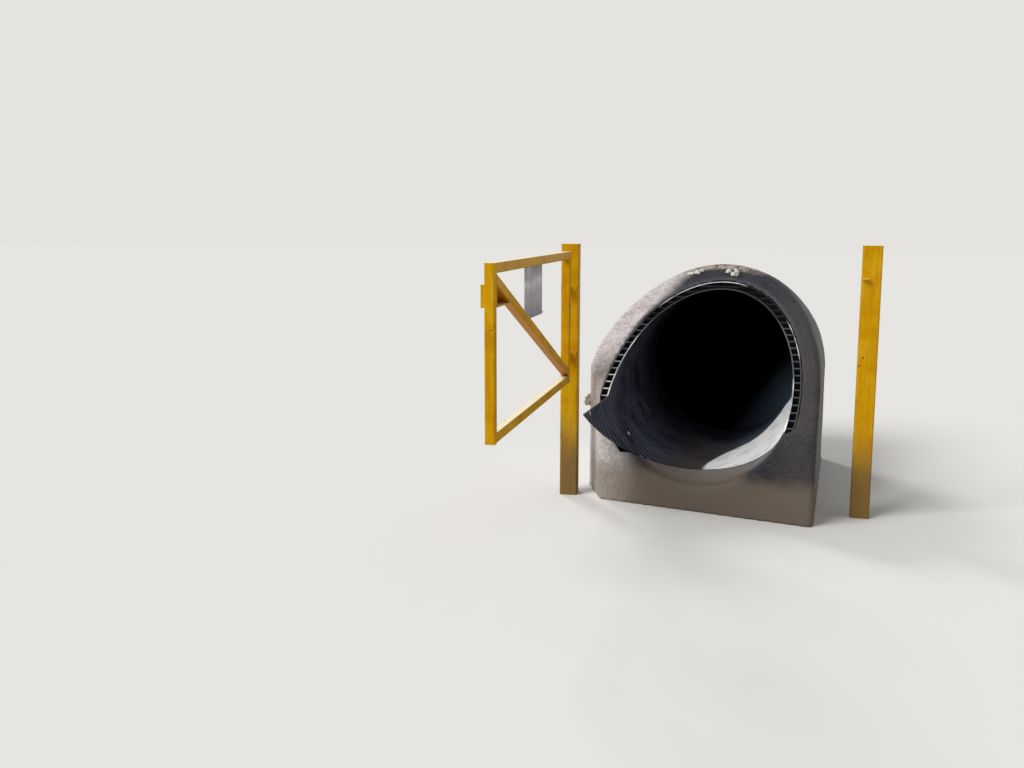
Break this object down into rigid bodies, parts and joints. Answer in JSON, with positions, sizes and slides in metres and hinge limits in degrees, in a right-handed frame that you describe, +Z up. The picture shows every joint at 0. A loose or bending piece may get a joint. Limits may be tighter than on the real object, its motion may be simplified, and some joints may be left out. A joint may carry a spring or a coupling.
{
  "type": "culvert headwall",
  "caption": "Step-bevelled plastic culvert end in a cast concrete collar, with square steel posts and a swing gate that closes across the outfall.",
  "frame": {"origin": "middle of the collar's underside, below the pipe's axis", "axes": "+Y along the pipe's axis into the bank, +Z up, +X to the right seen from the outfall"},
  "size_m": [2.6249, 5.1727, 2.21],
  "materials": {
    "concrete": "rough cast",
    "pipe_plastic": "dull black polyethylene, scuffed",
    "yellow_paint": "weathered gloss paint",
    "bare_steel": "dull zinc",
    "sheet_aluminium": "dull mill finish"
  },
  "bodies": {
    "headwall": {"concrete_collar": "concrete", "pipe_liner": "pipe_plastic", "pipe_outer_skin": "pipe_plastic", "pipe_cell_webs": "pipe_plastic", "left_post": "yellow_paint", "right_post": "yellow_paint", "left_post_cap": "yellow_paint", "right_post_cap": "yellow_paint", "upper_hinge_bracket": "yellow_paint", "lower_hinge_bracket": "yellow_paint", "upper_hinge_pin": "bare_steel", "lower_hinge_pin": "bare_steel", "latch_lug": "yellow_paint"},
    "gate": {"upper_hinge_barrel": "yellow_paint", "lower_hinge_barrel": "yellow_paint", "gate_hinge_stile": "yellow_paint", "gate_outer_stile": "yellow_paint", "hinge_stile_caps": "yellow_paint", "outer_stile_caps": "yellow_paint", "gate_top_rail": "yellow_paint", "gate_bottom_rail": "yellow_paint", "gate_diagonal_brace": "yellow_paint", "lock_box": "yellow_paint", "sign_plate": "sheet_aluminium"}
  },
  "joints": [
    {"name": "gate_hinge", "type": "hinge", "parent": "headwall", "child": "gate", "pos_m": [-1.11184, -1.09216, 1.5], "axis": [0, 0, 1], "range_deg": [-85, 85.5]}
  ]
}
